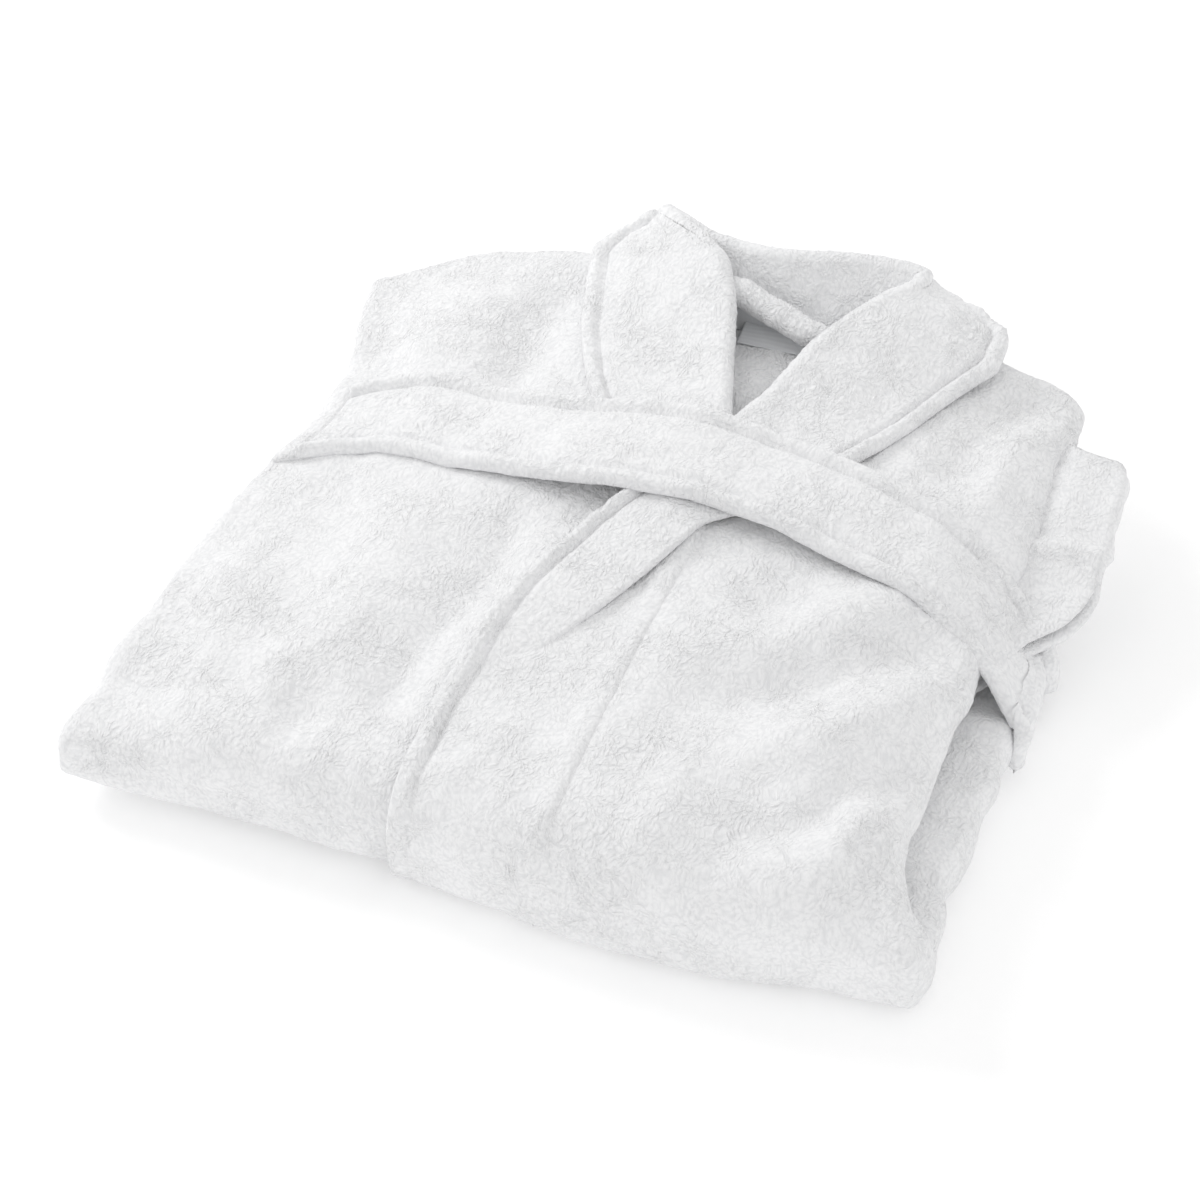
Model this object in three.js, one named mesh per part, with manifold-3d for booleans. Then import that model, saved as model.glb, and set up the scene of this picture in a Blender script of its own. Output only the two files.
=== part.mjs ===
// A white terry bathrobe, folded flat for a hotel shelf: front up, collar at the far end, belt round the pack.
// Millimetres, +Z up; +Y runs to the collar and +X to the wearer's left. Pieces are drawn from a point near the
// middle of the pack, on the surface it lies on, and the whole is centred on its own bounding box at the end.
// The robe is folded as on a laundry table: first both sides are turned behind the back, with the sleeves laid
// down on them, then the skirt is rolled under in two turns.
import * as THREE from "three";
import { mergeVertices } from "three/addons/utils/BufferGeometryUtils.js";
import Module from "manifold-3d";

const wasm = await Module();
wasm.setup();

// ---- Driving dimensions ----
const cloth = 3.6; // one ply of pressed terry
const gap = 0.4; // between plies
const packLength = 430; // bottom fold to shoulders
const packWidth = 397; // side fold to side fold, at the body
const shoulderEnd = 225; // the shoulders' far edge; lengths run back from it
const skirtStandsOut = 20; // the skirt's left fold stands out past the body's
const wingReach = 45; // how near the middle the turned-back sides come
const skirtTurnY = 170; // centre of the skirt's second turn
const hemInset = 65; // from the bottom fold to where the hem ends, inside the roll
const bandWidth = 78; // front band, seam to free edge
const bandSeamX = 48;
const underBandSeamX = 10; // the wearer's right band lies under the left front
const collarPly = 4.8; // collar: two plies pressed together
const rollRadius = 3.4; // middle surface of the collar where it rolls over
const sleeveWidth = 166;
const sleeveStandsOut = 29; // the left sleeve stands out past the side fold
const cuffInset = 75; // from the bottom fold to the cuffs' ends
const cuffLength = 70;
const shoulderY = 190; // where the sleeves start
const pocketWidth = 120;
const pocketLength = 130;
const pocketInset = 55; // from the bottom fold to the pockets' top edges
const lapelInset = 80; // from the bottom fold to where the left lapel stops turning back
const beltWidth = 65;
const beltY = 58; // centre of the belt
const beltPly = 5.2; // belt: two plies stitched flat
const beltTurns = 3; // runs of spare belt under the pack
const loopWidth = 12; // belt loops
const hangerWidth = 13;
const hangerSpan = 66;
const hangerReach = 14; // how far the loop leans forward
const hangerX = 32;
const tapeHeight = 16;
const labelWidth = 44;
const labelLength = 26;

// ---- What follows from them ----
const pitch = cloth + gap;
const plies = 5; // left front, right front, back, turned-back back, turned-back front
const stack = plies * pitch; // one run of the folded skirt
const sleeveHeight = 2 * cloth + gap;
const packHeight = 3 * stack + sleeveHeight + gap;
const leftSide = packWidth / 2 - 1.5;
const rightSide = packWidth / 2 + 1.5;
const skirtLeftSide = leftSide + skirtStandsOut;
const sleeveOut = leftSide + sleeveStandsOut;
const bottomY = shoulderEnd - packLength;
const foldY = bottomY + packHeight / 2; // centre of the bottom fold
const hemY = bottomY + hemInset;
const pocketTopY = bottomY + pocketInset;
const breakY = bottomY + lapelInset;
const beltNear = beltY - beltWidth / 2;
const beltFar = beltY + beltWidth / 2;
const beltPitch = beltPly + gap;
const beltStack = beltTurns * beltPitch;
const ply = { leftFront: 0, rightFront: 1, back: 2, backWing: 3, frontWing: 4 };

const robe = new THREE.Group();
const fabric = (name, color, roughness) => new THREE.MeshStandardMaterial({ name, color, roughness, metalness: 0 });
const terryWhite = 0xf3f3f4;
const materials = {
  body: fabric("terry_body", terryWhite, 0.95),
  collar: fabric("terry_collar", terryWhite, 0.95),
  belt: fabric("terry_belt", terryWhite, 0.95),
  tape: fabric("cotton_tape", 0xd9dadc, 0.8),
  label: fabric("satin_label", 0xbfc2c6, 0.45),
};

function add(name, geometry, material) {
  const mesh = new THREE.Mesh(geometry, material);
  mesh.name = name;
  robe.add(mesh);
}

// ---- Solids ----
// Places are kept to a fine binary grid, so that faces meant to meet in one plane do.
const snap = (value, parts) => Math.round(value * parts) / parts;
const gridParts = 1024;

function toSolid(geometry) {
  const bare = geometry.clone();
  for (const name of ["normal", "uv"]) bare.deleteAttribute(name);
  const places = bare.attributes.position.array;
  places.forEach((value, i) => (places[i] = snap(value, gridParts)));
  const merged = mergeVertices(bare, 1e-3);
  const mesh = new wasm.Mesh({
    numProp: 3,
    vertProperties: merged.attributes.position.array,
    triVerts: new Uint32Array(merged.index.array),
  });
  return new wasm.Manifold(mesh);
}

function toGeometry(solid) {
  const mesh = solid.getMesh();
  const geometry = new THREE.BufferGeometry();
  geometry.setAttribute("position", new THREE.BufferAttribute(new Float32Array(mesh.vertProperties), 3));
  geometry.setIndex(new THREE.BufferAttribute(new Uint32Array(mesh.triVerts), 1));
  return geometry;
}

// How far the pack's underside is lifted at y by what lies beneath it: the pockets, then the spare belt.
const underside = [
  [pocketTopY - 10, 0],
  [pocketTopY - 2, pitch],
  [pocketTopY + pocketLength + 2, pitch],
  [pocketTopY + pocketLength + 10, 0],
  [beltNear - 17, 0],
  [beltNear - 3, beltStack],
  [beltFar + 3, beltStack],
  [beltFar + 17, 0],
];
const stations = underside.map(([y]) => y);

function lift(y) {
  for (let i = 1; i < underside.length; i++) {
    const [y0, z0] = underside[i - 1];
    const [y1, z1] = underside[i];
    if (y > y0 && y <= y1) return z0 + ((z1 - z0) * (y - y0)) / (y1 - y0);
  }
  return 0;
}

// A height in the pack over the spare belt, once what lies above is pressed down on it.
const overBelt = (z) => z + beltStack * (1 - z / packHeight);

// Presses a point of the pack down on what lies beneath: full lift at the floor, none at the top.
const settled = (y, z) => (z < packHeight ? z + lift(y) * (1 - z / packHeight) : z);

const join = (geometries) => toGeometry(geometries.map(toSolid).reduce((all, next) => all.add(next)));
const cut = (geometry, tool) => toGeometry(toSolid(geometry).subtract(toSolid(tool)));

// Settles a shape drawn in (Y, Z) and extrudes it along X, from x0 to x1.
function alongX(shape, x0, x1) {
  const outline = shape.getPoints(5).map(({ x, y }) => new THREE.Vector2(x, settled(x, y)));
  const settledShape = new THREE.Shape(outline);
  const geometry = new THREE.ExtrudeGeometry(settledShape, { depth: x1 - x0, bevelEnabled: false });
  const basis = new THREE.Matrix4().makeBasis(
    new THREE.Vector3(0, 1, 0),
    new THREE.Vector3(0, 0, 1),
    new THREE.Vector3(1, 0, 0),
  );
  return geometry.applyMatrix4(basis).translate(x0, 0, 0);
}

// Extrudes a shape drawn in (X, Z) along Y, from yFar down to yNear, settled at every station between.
function alongY(shape, yNear, yFar, curveSegments = 4) {
  const steps = [yFar, ...stations.filter((y) => y > yNear + 1 && y < yFar - 1).reverse(), yNear];
  const count = steps.length - 1;
  const settings = { depth: count, steps: count, bevelEnabled: false, curveSegments };
  const geometry = new THREE.ExtrudeGeometry(shape, settings);
  const p = geometry.attributes.position;
  for (let i = 0; i < p.count; i++) {
    const y = steps[Math.round(p.getZ(i))];
    p.setXYZ(i, p.getX(i), y, settled(y, p.getY(i)));
  }
  return geometry;
}

// A plan outline, [x, y] points, as a prism from z0 to z1.
function prism(outline, z0, z1) {
  const shape = new THREE.Shape(outline.map(([x, y]) => new THREE.Vector2(x, y)));
  return new THREE.ExtrudeGeometry(shape, { depth: z1 - z0, bevelEnabled: false }).translate(0, 0, z0);
}

function box(x0, x1, y0, y1, z0, z1) {
  const size = new THREE.BoxGeometry(x1 - x0, y1 - y0, z1 - z0);
  return size.translate((x0 + x1) / 2, (y0 + y1) / 2, (z0 + z1) / 2);
}

// A closed sheet of cloth: rows of points on its middle surface, given half the thickness to each side.
function sheet(rows, thickness) {
  const down = rows.length;
  const across = rows[0].length;
  const at = (i, j) => rows[THREE.MathUtils.clamp(i, 0, down - 1)][THREE.MathUtils.clamp(j, 0, across - 1)];
  const vertices = [];
  for (const side of [1, -1]) {
    for (let i = 0; i < down; i++) {
      for (let j = 0; j < across; j++) {
        const along = at(i + 1, j).clone().sub(at(i - 1, j));
        const over = at(i, j + 1).clone().sub(at(i, j - 1));
        const normal = along.cross(over).setLength((side * thickness) / 2);
        vertices.push(...at(i, j).clone().add(normal));
      }
    }
  }
  const faces = [];
  const face = (a, b, c, d) => faces.push(a, b, c, a, c, d);
  const back = down * across;
  const id = (i, j) => i * across + j;
  for (let i = 0; i + 1 < down; i++) {
    for (let j = 0; j + 1 < across; j++) {
      face(id(i, j), id(i + 1, j), id(i + 1, j + 1), id(i, j + 1));
      face(back + id(i, j), back + id(i, j + 1), back + id(i + 1, j + 1), back + id(i + 1, j));
    }
    face(id(i, 0), back + id(i, 0), back + id(i + 1, 0), id(i + 1, 0));
    face(id(i, across - 1), id(i + 1, across - 1), back + id(i + 1, across - 1), back + id(i, across - 1));
  }
  for (let j = 0; j + 1 < across; j++) {
    face(id(0, j), id(0, j + 1), back + id(0, j + 1), back + id(0, j));
    face(id(down - 1, j), back + id(down - 1, j), back + id(down - 1, j + 1), id(down - 1, j + 1));
  }
  const geometry = new THREE.BufferGeometry();
  geometry.setAttribute("position", new THREE.BufferAttribute(new Float32Array(vertices), 3));
  return geometry.setIndex(faces);
}

// ---- Panels ----
// One ply of the rolled skirt and body, seen from the side: over the top, round the bottom fold, back under
// the pack, round the second turn and in to the hem. Plies nest by their level.
function rolledPly(level, startY) {
  const depth = level * pitch;
  const shape = new THREE.Shape();
  const run = (from, to, z) => {
    const between = stations.filter((y) => y > Math.min(from, to) + 1 && y < Math.max(from, to) - 1);
    if (from > to) between.reverse();
    for (const y of [from, ...between, to]) shape.lineTo(y, z);
  };
  const half = Math.PI / 2;
  shape.moveTo(startY, packHeight - depth);
  run(startY, foldY, packHeight - depth);
  shape.absarc(foldY, packHeight / 2, packHeight / 2 - depth, half, 3 * half, false);
  run(foldY, skirtTurnY, depth);
  shape.absarc(skirtTurnY, stack, stack - depth, -half, half, false);
  run(skirtTurnY, hemY, 2 * stack - depth);
  run(hemY, skirtTurnY, 2 * stack - depth - cloth);
  shape.absarc(skirtTurnY, stack, stack - depth - cloth, half, -half, true);
  run(skirtTurnY, foldY, depth + cloth);
  shape.absarc(foldY, packHeight / 2, packHeight / 2 - depth - cloth, 3 * half, half, true);
  run(foldY, startY, packHeight - depth - cloth);
  return shape;
}

// The turned side of a panel, from its outer ply round to its wing: a U lying on its side, open towards x0.
function sideFold(x0, tipX, zLow, zHigh) {
  const outer = (zHigh - zLow) / 2;
  const inner = outer - cloth;
  const side = Math.sign(tipX - x0);
  const x = tipX - side * outer;
  const z = (zLow + zHigh) / 2;
  const half = Math.PI / 2;
  const shape = new THREE.Shape();
  shape.moveTo(x0, zLow);
  shape.lineTo(x, zLow);
  shape.absarc(x, z, outer, -half, half, side < 0);
  shape.lineTo(x0, zHigh);
  shape.lineTo(x0, zHigh - cloth);
  shape.absarc(x, z, inner, half, -half, side > 0);
  shape.lineTo(x0, zLow + cloth);
  return shape;
}

// The three side folds of a panel: upper body, skirt under the pack, skirt inside the roll.
function sideFolds(x0, upperTip, skirtTip, level, wingLevel) {
  const top = packHeight - level * pitch;
  const wing = wingLevel * pitch + cloth;
  return [
    alongY(sideFold(x0, upperTip, packHeight - wing, top), foldY, shoulderEnd),
    alongY(sideFold(x0, skirtTip, level * pitch, wing), foldY, skirtTurnY),
    alongY(sideFold(x0, skirtTip, 2 * stack - wing, 2 * stack - level * pitch), hemY, skirtTurnY),
  ];
}

const foldInset = 12; // where a panel's flat part ends and its side fold begins

function makePanel(level, wingLevel, flatFrom, flatTo, sides) {
  const pieces = [alongX(rolledPly(level, shoulderEnd), flatFrom, flatTo)];
  for (const { tip, skirtTip } of sides) {
    const out = Math.sign(tip);
    const start = tip - out * foldInset;
    const wing = [out * wingReach, start].sort((a, b) => a - b);
    pieces.push(alongX(rolledPly(wingLevel, shoulderEnd), wing[0], wing[1]));
    pieces.push(...sideFolds(start, tip, skirtTip, level, wingLevel));
  }
  return join(pieces);
}

const leftFold = { tip: leftSide, skirtTip: skirtLeftSide };
const rightFold = { tip: -rightSide, skirtTip: -rightSide };
const backInset = 2 * (ply.backWing - ply.back) * pitch; // the back is folded inside the fronts
const frontTop = packHeight + 1;

// The neckline that the fronts are cut to, from the crossing of the fronts to the shoulder.
const neckDepth = packHeight - 2 * pitch + gap / 2;
const pastEnd = shoulderEnd + 10;
const leftNeckline = [
  [20, breakY],
  [bandSeamX, breakY],
  [bandSeamX, 20],
  [52, 60],
  [76, 120],
  [94, 180],
  [92, pastEnd],
  [20, pastEnd],
];
const rightNeckline = [
  [110, 20],
  [underBandSeamX, 20],
  [8, 70],
  [-4, 110],
  [-22, 150],
  [-32, 185],
  [-28, pastEnd],
  [110, pastEnd],
];

const leftEdge = leftSide - foldInset;
const leftFront = makePanel(ply.leftFront, ply.frontWing, bandSeamX, leftEdge, [leftFold]);
add("front_left", cut(leftFront, prism(leftNeckline, neckDepth, frontTop)), materials.body);

const rightEdge = -(rightSide - foldInset);
const rightFront = makePanel(ply.rightFront, ply.frontWing, rightEdge, underBandSeamX - gap, [rightFold]);
add("front_right", cut(rightFront, prism(rightNeckline, neckDepth - gap, frontTop)), materials.body);

const backSides = [
  { tip: leftSide - backInset, skirtTip: skirtLeftSide - backInset },
  { tip: -(rightSide - backInset), skirtTip: -(rightSide - backInset) },
];
const backReach = (side) => side - backInset - foldInset;
const back = makePanel(ply.back, ply.backWing, -backReach(rightSide), backReach(leftSide), backSides);
add("back_panel", back, materials.body);

// Each front's band runs on from the collar, round the bottom fold to the hem.
const leftBandTo = bandSeamX - gap;
const leftBand = alongX(rolledPly(ply.leftFront, breakY - gap), leftBandTo - bandWidth, leftBandTo);
add("front_band_left", leftBand, materials.collar);
const crossingY = 96; // the right lapel goes under the left front here
const rightBandTo = underBandSeamX + bandWidth;
const rightBand = alongX(rolledPly(ply.rightFront, crossingY - 2), underBandSeamX, rightBandTo);
add("front_band_right", rightBand, materials.collar);

// ---- Sleeves, laid down behind the body on the turned-back sides ----
function flatTube(x0, x1, z0, wall, lumen) {
  const height = 2 * wall + lumen;
  const z = z0 + height / 2;
  const half = Math.PI / 2;
  const loop = (path, radius) => {
    path.moveTo(x0 + height / 2, z - radius);
    path.lineTo(x1 - height / 2, z - radius);
    path.absarc(x1 - height / 2, z, radius, -half, half, false);
    path.lineTo(x0 + height / 2, z + radius);
    path.absarc(x0 + height / 2, z, radius, half, 3 * half, false);
    return path;
  };
  const shape = loop(new THREE.Shape(), height / 2);
  shape.holes.push(loop(new THREE.Path(), lumen / 2));
  return shape;
}

const sleeveFloor = 2 * stack + gap;
const cuffY = bottomY + cuffInset + cuffLength + gap;
for (const [name, x0] of [["left", sleeveOut - sleeveWidth], ["right", -rightSide + 3]]) {
  const tube = flatTube(x0, x0 + sleeveWidth, sleeveFloor - gap / 2, cloth, gap);
  add(`sleeve_${name}`, alongY(tube, cuffY, shoulderY), materials.body);
  add(`cuff_${name}`, alongY(tube, cuffY - gap - cuffLength, cuffY - gap), materials.collar);
}

// ---- Patch pockets, on the skirt's outer face, now underneath ----
const pocketToSide = 15;
const leftPocketX = leftSide - pocketToSide - pocketWidth;
const rightPocketX = -rightSide + pocketToSide;
for (const [name, x0, z0] of [["left", leftPocketX, 0], ["right", rightPocketX, pitch - gap]]) {
  const pocket = box(x0, x0 + pocketWidth, pocketTopY, pocketTopY + pocketLength, z0, z0 + cloth);
  add(`pocket_${name}`, pocket, materials.body);
}

// ---- Belt loops, in the side seams, lying in the slot between the turned-back sides ----
const loopReach = 34;
const loopGap = 4;
for (const [name, side] of [["left", 1], ["right", -1]]) {
  const ends = [side * loopGap, side * (loopGap + loopReach)].sort((a, b) => a - b);
  const loop = flatTube(ends[0], ends[1], packHeight - stack + gap, 1.8, 0.8);
  add(`belt_loop_${name}`, alongY(loop, beltY - loopWidth / 2, beltY + loopWidth / 2), materials.belt);
}

// ---- Shawl collar ----
// Stations from the centre back to the lapel's end: seam on the neckline, roll line, outer edge.
const v = (x, y, z) => new THREE.Vector3(x, y, z);
const leftPly = overBelt(packHeight - pitch) + gap + collarPly / 2;
const rightPly = overBelt(packHeight - 2 * pitch) + gap + collarPly / 2;
const leftRoll = leftPly + rollRadius;
const rightRoll = rightPly + rollRadius;
const fall = packHeight + collarPly / 2 + gap; // a leaf lying on the left front
const leafOnLeaf = leftPly + 2 * rollRadius; // the turned-back leaf where it lies on its own under leaf
const underFall = fall - pitch; // a leaf lying on the right front
const up = (dz) => packHeight + dz;
const standTop = up(39);
const standSeam = up(-2);
const centreBack = 45;
const halfSeam = 0.3; // half the gap at the centre-back seam
const backOf = (x) => ({ seam: v(x, 206, standSeam), roll: v(x, 209, standTop), edge: v(x, 230, up(10)) });
const lapelY = (t) => THREE.MathUtils.lerp(beltNear + 8, breakY, t); // 0 under the belt, 1 at the lapel's end
const onLeaf = (seamX, seamY, rollX, edgeX, y, z) => ({
  seam: v(seamX, seamY, leftPly),
  roll: v(rollX, y, leftRoll),
  edge: v(edgeX, y, z),
});

const leftCollar = [
  backOf(centreBack + halfSeam),
  { seam: v(74, 205, standSeam), roll: v(72, 208, standTop), edge: v(88, 230, up(10)) },
  { seam: v(88, 195, leftPly), roll: v(82, 202, up(35)), edge: v(122, 224, fall + 4) },
  { seam: v(90, 178, leftPly), roll: v(73, 183, up(26)), edge: v(152, 204, fall + 3) },
  { seam: v(82, 150, leftPly), roll: v(61, 150, up(16)), edge: v(138, 166, fall + 1) },
  { seam: v(72, 120, leftPly), roll: v(52, 120, leftRoll + 4), edge: v(124, 132, fall) },
  { seam: v(58, beltFar + 4, leftPly), roll: v(42, beltFar + 4, leftRoll), edge: v(108, beltFar + 8, fall) },
  onLeaf(46, lapelY(0) + 6, 14, 72, lapelY(0), leafOnLeaf - 0.8),
  onLeaf(44, lapelY(0.42), -10, 33, lapelY(0.42), leafOnLeaf),
  onLeaf(44, lapelY(0.75), -24, 10, lapelY(0.75), leafOnLeaf),
  onLeaf(44, breakY, -26, -8, breakY, leafOnLeaf),
];
const rightCollar = [
  backOf(centreBack - halfSeam),
  { seam: v(-2, 205, standSeam), roll: v(4, 209, up(40)), edge: v(-14, 231, up(12)) },
  { seam: v(-12, 200, rightPly), roll: v(-6, 208, standTop), edge: v(-44, 229, fall + 5) },
  { seam: v(-20, 188, rightPly), roll: v(-8, 199, up(35)), edge: v(-70, 220, underFall + 6) },
  { seam: v(-26, 176, rightPly), roll: v(-4, 186, up(28)), edge: v(-88, 209, underFall + 5) },
  { seam: v(-18, 150, rightPly), roll: v(10, 152, up(16)), edge: v(-76, 166, underFall + 1) },
  { seam: v(-6, 122, rightPly), roll: v(20, 124, rightRoll + 5), edge: v(-58, 132, underFall + 1) },
  {
    seam: v(6, crossingY, rightPly),
    roll: v(28, crossingY, rightRoll + 1.5),
    edge: v(-42, crossingY + 6, underFall + 2),
  },
];

// The collar's cross-section at a station: up from the seam, over the roll, square to it, and out to the edge.
function collarSection({ seam, roll, edge }, along) {
  const out = roll.clone().sub(seam.clone().add(edge).divideScalar(2));
  out.addScaledVector(along, -out.dot(along)).normalize();
  const apart = out.clone().cross(along);
  if (apart.dot(edge.clone().sub(seam)) < 0) apart.negate();
  const turn = (angle) => {
    const point = roll.clone().addScaledVector(out, rollRadius * Math.cos(angle));
    return point.addScaledVector(apart, rollRadius * Math.sin(angle));
  };
  return [seam, ...[-90, -30, 30, 90].map((degrees) => turn(THREE.MathUtils.degToRad(degrees))), edge];
}

// The outer corner of each side of the collar turns up along a straight crease, from the edge by the belt to
// the edge behind the neck. It splits the fall: collar_* stays, collar_*_fall turns about its upper edge.
const creaseGap = 1.6;
const crease = {
  left: { from: v(107, 96, up(-1.2)), to: v(118, 224, up(22.3)) },
  right: { from: v(-43, 104, up(-5.8)), to: v(-50, 227, up(24.4)) },
};

// How far past the crease's line a point lies, in plan: positive on the outer corner.
function pastCrease({ from, to }, point, side) {
  const line = to.clone().sub(from);
  const away = point.clone().sub(from);
  return (side * (away.x * line.y - away.y * line.x)) / Math.hypot(line.x, line.y);
}

function makeCollar(name, collar, side) {
  const line = crease[name];
  const rows = [];
  const corner = [];
  for (const [i, station] of collar.entries()) {
    const past = pastCrease(line, station.edge, side);
    const before = collar[Math.max(i - 1, 0)].roll;
    const after = collar[Math.min(i + 1, collar.length - 1)].roll;
    const section = collarSection(station, after.clone().sub(before).normalize());
    if (past > 4) {
      const start = section[section.length - 2];
      const startPast = pastCrease(line, start, side);
      const crossing = (offset) => {
        const point = start.clone().lerp(station.edge, (offset - startPast) / (past - startPast));
        const t = (point.y - line.from.y) / (line.to.y - line.from.y);
        return point.setZ(THREE.MathUtils.lerp(line.from.z, line.to.z, t));
      };
      section[section.length - 1] = crossing(-creaseGap / 2);
      const inner = crossing(creaseGap / 2);
      corner.push([inner, inner.clone().lerp(station.edge, 0.5), station.edge]);
    }
    rows.push(section);
  }
  const oriented = side > 0 ? rows : rows.map((row) => row.reverse());
  const orientedCorner = side > 0 ? corner : corner.map((row) => row.reverse());
  add(`collar_${name}`, sheet(oriented, collarPly), materials.collar);
  add(`collar_${name}_fall`, sheet(orientedCorner, collarPly), materials.collar);
}
makeCollar("left", leftCollar, 1);
makeCollar("right", rightCollar, -1);

// ---- Inside the back neck ----
const tapeY = 199;
const tapeFloor = packHeight - 2 * pitch + gap;
const tapeThick = 1.2;
add("neck_tape", box(-3, 70, tapeY, tapeY + tapeThick, tapeFloor, tapeFloor + tapeHeight), materials.tape);
const labelY = tapeY - gap;
const labelRows = [0, 0.5, 1].map((t) => {
  const y = labelY - 1 - labelLength * t;
  const z = tapeFloor + 6 - 5 * t;
  return [v(hangerX - labelWidth / 2, y, z), v(hangerX + labelWidth / 2, y, z)];
});
add("neck_label", sheet(labelRows, 0.8), materials.label);

// A padded loop of terry, sewn to the tape at both ends and leaning forward over the neck. It swings up about
// the top edge of its two feet.
const hangerPly = 4.5;
const hangerFoot = v(hangerX, tapeY - gap - hangerPly / 2, tapeFloor + tapeHeight / 2 + 1);
const hangerArch = [];
for (let i = 0; i <= 8; i++) {
  const angle = (Math.PI * i) / 8;
  const x = hangerFoot.x + (hangerSpan / 2) * Math.cos(angle);
  const y = hangerFoot.y - hangerReach * Math.sin(angle);
  hangerArch.push([v(x, y, hangerFoot.z), v(x, y, hangerFoot.z + hangerWidth)]);
}
add("hanger_loop", sheet(hangerArch, hangerPly), materials.collar);

// ---- Belt ----
// Over the top from the hinge at the right side of the robe and down the left side; the spare is underneath.
const beltClear = 2 * gap + beltPly / 2;
const beltRest = packHeight + beltClear;
const beltRestRight = overBelt(packHeight - pitch) + beltClear;
const overRoll = leftRoll + rollRadius + collarPly / 2 + beltClear;
const beltHingeX = -rightSide + 14;
const beltOut = sleeveOut + gap + beltPly / 2 + 1;
const beltPath = [
  [beltHingeX, beltRestRight],
  [-100, beltRestRight],
  [-50, beltRestRight + 3.5],
  [-8, overRoll],
  [70, overRoll],
  [106, overRoll - 3.4],
  [136, beltRest + 1],
  [leftSide - 9, beltRest],
  [leftSide + 7, beltRest - 1.4],
  [leftSide + 19, beltRest - 4.5],
  [leftSide + 28, beltRest - 10],
  [beltOut, beltRest - 18],
  [beltOut, beltPly],
];
const strap = (path) => [beltNear, beltFar].map((y) => path.map(([x, z]) => v(x, y, z)));
add("belt_front", sheet(strap(beltPath), beltPly), materials.belt);

// The rest of it turns down over the right side fold and in under the pack.
const beltDropX = -rightSide - gap - beltPly / 2 - 0.6;
const rightFoldRadius = ((ply.frontWing - ply.rightFront) * pitch + cloth) / 2;
const turnRadius = rightFoldRadius + gap + beltPly / 2 + 0.6; // round the right front's side fold
const tailPath = [[beltHingeX - 1.5, beltRestRight]];
for (let step = 0; step <= 4; step++) {
  const angle = (Math.PI / 2) * (1 + step / 4);
  const x = beltDropX + turnRadius * (1 + Math.cos(angle));
  tailPath.push([x, beltRestRight - turnRadius * (1 - Math.sin(angle))]);
}
tailPath.push([beltDropX, beltPly / 2 + 9]);
tailPath.push([beltDropX + 4, beltPly / 2 + 2.4]);
const leftRunEnd = leftSide - 5;
const rightRunEnd = -rightSide + 14;
// The spare length, folded to and fro: runs joined by half turns.
for (let run = 0; run < beltTurns; run++) {
  const z = beltPly / 2 + run * beltPitch;
  const toLeft = run % 2 === 0;
  const end = toLeft ? leftRunEnd : rightRunEnd;
  tailPath.push([toLeft ? rightRunEnd : leftRunEnd, z]);
  tailPath.push([end, z]);
  if (run + 1 < beltTurns) tailPath.push([end + (toLeft ? 1 : -1) * (beltPitch / 2), z + beltPitch / 2]);
}
add("belt_tail", sheet(strap(tailPath), beltPly), materials.belt);

// The robe's own frame stands on the middle of its bounding box's underside.
const bounds = new THREE.Box3().setFromObject(robe);
const middle = bounds.getCenter(new THREE.Vector3());
const toFrame = [-middle.x, -middle.y, -bounds.min.z].map((value) => snap(value, gridParts));
robe.position.set(...toFrame);

export default robe;
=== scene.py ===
# A white terry bathrobe folded for a hotel shelf: front up, collar at the far end, belt laid across.
# Lengths are in millimetres until a mesh is made. The robe is drawn from the same point as its frame.
import math
import bpy
import numpy as np
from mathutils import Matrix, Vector


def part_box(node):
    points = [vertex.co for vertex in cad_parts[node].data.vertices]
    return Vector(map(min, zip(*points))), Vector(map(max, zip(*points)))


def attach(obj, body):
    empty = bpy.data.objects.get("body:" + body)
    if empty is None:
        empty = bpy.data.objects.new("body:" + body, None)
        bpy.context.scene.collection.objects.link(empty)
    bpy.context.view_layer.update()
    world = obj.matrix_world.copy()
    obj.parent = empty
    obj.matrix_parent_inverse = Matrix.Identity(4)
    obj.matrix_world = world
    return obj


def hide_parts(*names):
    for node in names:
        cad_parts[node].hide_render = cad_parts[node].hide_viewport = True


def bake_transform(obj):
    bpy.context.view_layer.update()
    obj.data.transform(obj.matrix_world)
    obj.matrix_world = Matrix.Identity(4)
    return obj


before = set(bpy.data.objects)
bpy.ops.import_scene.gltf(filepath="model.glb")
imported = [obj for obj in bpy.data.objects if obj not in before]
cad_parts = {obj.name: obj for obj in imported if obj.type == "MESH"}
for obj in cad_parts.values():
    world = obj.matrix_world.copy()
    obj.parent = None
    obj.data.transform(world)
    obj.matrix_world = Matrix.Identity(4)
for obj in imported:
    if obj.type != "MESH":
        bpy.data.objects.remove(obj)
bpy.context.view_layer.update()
mm = 0.001

# where the drawing's own origin lies in the frame, from the neck tape's low corner
tapeDrawnAt = (-3.0, 199.0)
tapeLow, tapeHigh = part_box("neck_tape")
shift = np.array([tapeLow.x / mm - tapeDrawnAt[0], tapeLow.y / mm - tapeDrawnAt[1], 0.0])


def drawnBox(node):
    low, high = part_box(node)
    return np.array(low) / mm - shift, np.array(high) / mm - shift


def inFrame(point):
    return tuple((np.array(point, float) + shift) * mm)


# noise and smoothing
def gradientTable(seed):
    rng = np.random.default_rng(seed)
    g = rng.normal(size=(256, 3))
    return rng.permutation(256), g / np.linalg.norm(g, axis=1, keepdims=True)


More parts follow.
